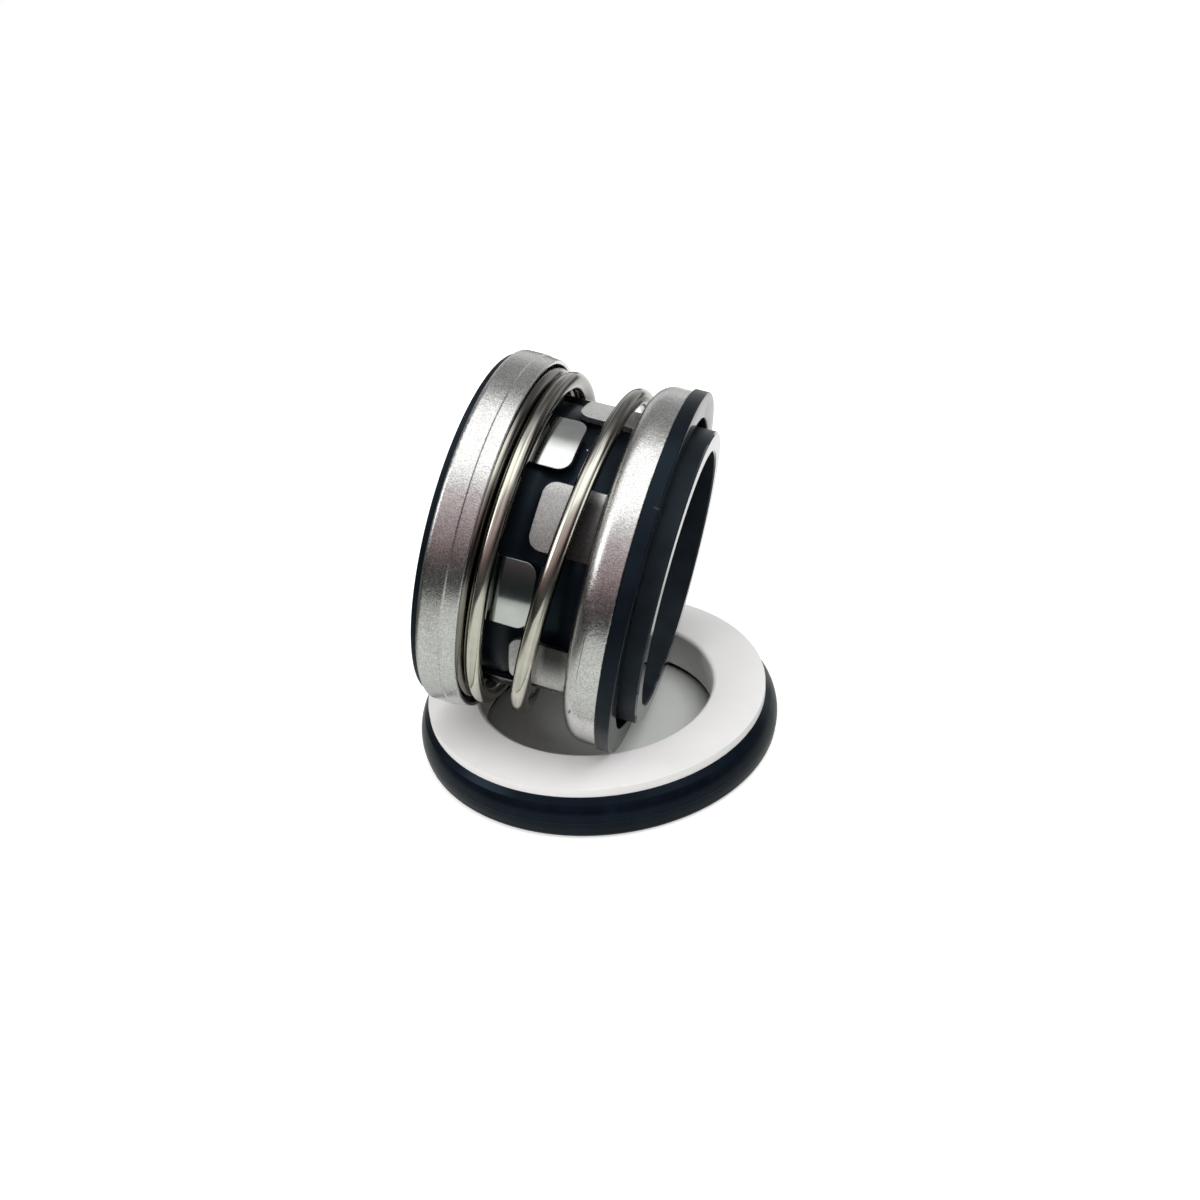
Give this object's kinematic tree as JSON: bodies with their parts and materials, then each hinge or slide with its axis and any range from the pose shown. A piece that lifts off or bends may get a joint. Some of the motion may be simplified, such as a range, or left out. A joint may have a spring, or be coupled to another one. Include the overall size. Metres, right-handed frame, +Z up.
{
  "type": "mechanical shaft seal",
  "caption": "Single-spring rubber bellows shaft seal: rotating head with pressed steel cups leaning on its ceramic seat in a rubber boot.",
  "frame": {"origin": "centre of the seat's underside, on the seat's axis, at floor level", "axes": "+Z up along the seat's axis; the head's axis lies in the XZ plane and its sealing face looks to +X and 13 degrees down"},
  "size_m": [0.047, 0.047, 0.05],
  "materials": {
    "white_ceramic": "fine ground alumina, satin",
    "gasket_rubber": "moulded, semi-gloss",
    "bellows_rubber": "moulded, satin",
    "pressed_steel": "deep-drawn stainless sheet, satin",
    "bright_steel": "polished stainless sheet",
    "spring_steel": "polished stainless wire",
    "face_carbon": "lapped carbon, satin"
  },
  "bodies": {
    "base": {"seat_ring": "white_ceramic", "seat_gasket": "gasket_rubber", "spring_holder": "pressed_steel", "drive_band": "bright_steel", "spring": "spring_steel", "bellows": "bellows_rubber"},
    "face_end": {"retainer": "pressed_steel", "face_ring": "face_carbon"}
  },
  "joints": [
    {"name": "face_slide", "type": "slide", "parent": "base", "child": "face_end", "axis": [-0.974, 0, 0.2266], "range_m": [0, 0.004], "stiffness_N_per_m": 2800, "deforming": ["spring", "bellows"]}
  ]
}
